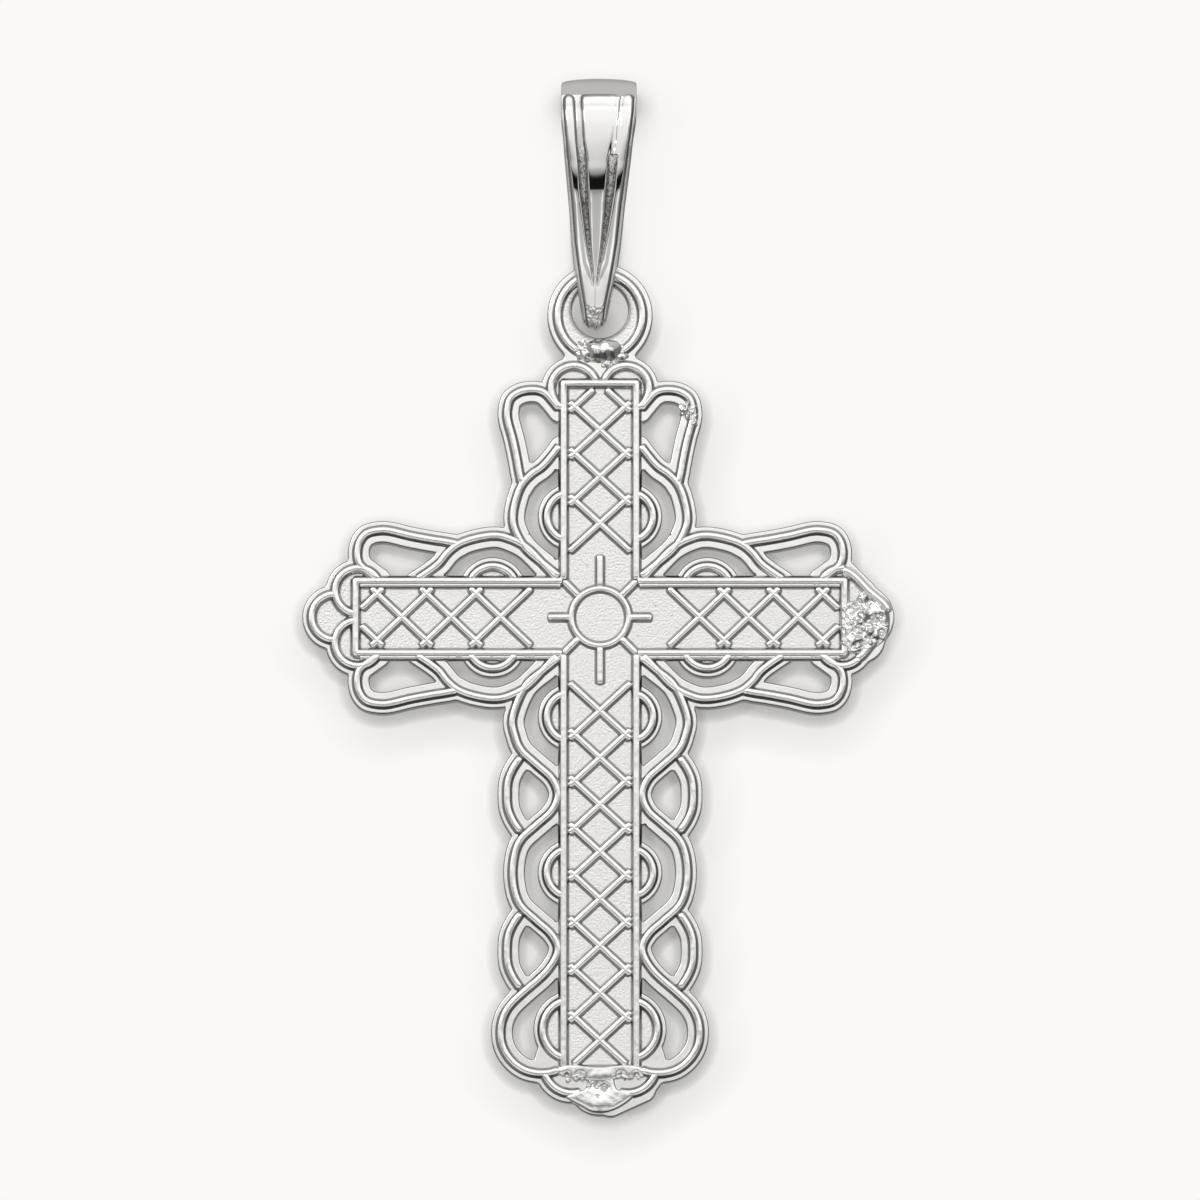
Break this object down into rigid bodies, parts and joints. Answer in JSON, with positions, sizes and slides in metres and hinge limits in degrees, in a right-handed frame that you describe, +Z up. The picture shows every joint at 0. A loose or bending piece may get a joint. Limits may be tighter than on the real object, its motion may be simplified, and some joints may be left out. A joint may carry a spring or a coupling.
{
  "type": "cross pendant",
  "caption": "Pierced cross pendant with a lace border, lattice-work arms and a flat eye, hanging from a tapered fluted bail.",
  "frame": {"origin": "the chain's seat, inside the top of the bail", "axes": "+Z up, against the way the pendant hangs; +X to the right of the face with the lattice; that face looks towards -Y"},
  "size_m": [0.017, 0.0028, 0.0299],
  "materials": {
    "polished_silver": "bright polished, rhodium-plated silver",
    "satin_silver": "fine satin ground with bright polished rails, rhodium-plated silver"
  },
  "bodies": {
    "bail": {"bail": "polished_silver"},
    "cross": {"cross": "satin_silver"}
  },
  "joints": [
    {"name": "cross_swing", "type": "hinge", "parent": "bail", "child": "cross", "pos_m": [0, 0, -0.00513], "axis": [1, 0, 0], "range_deg": [-100, 100]}
  ]
}
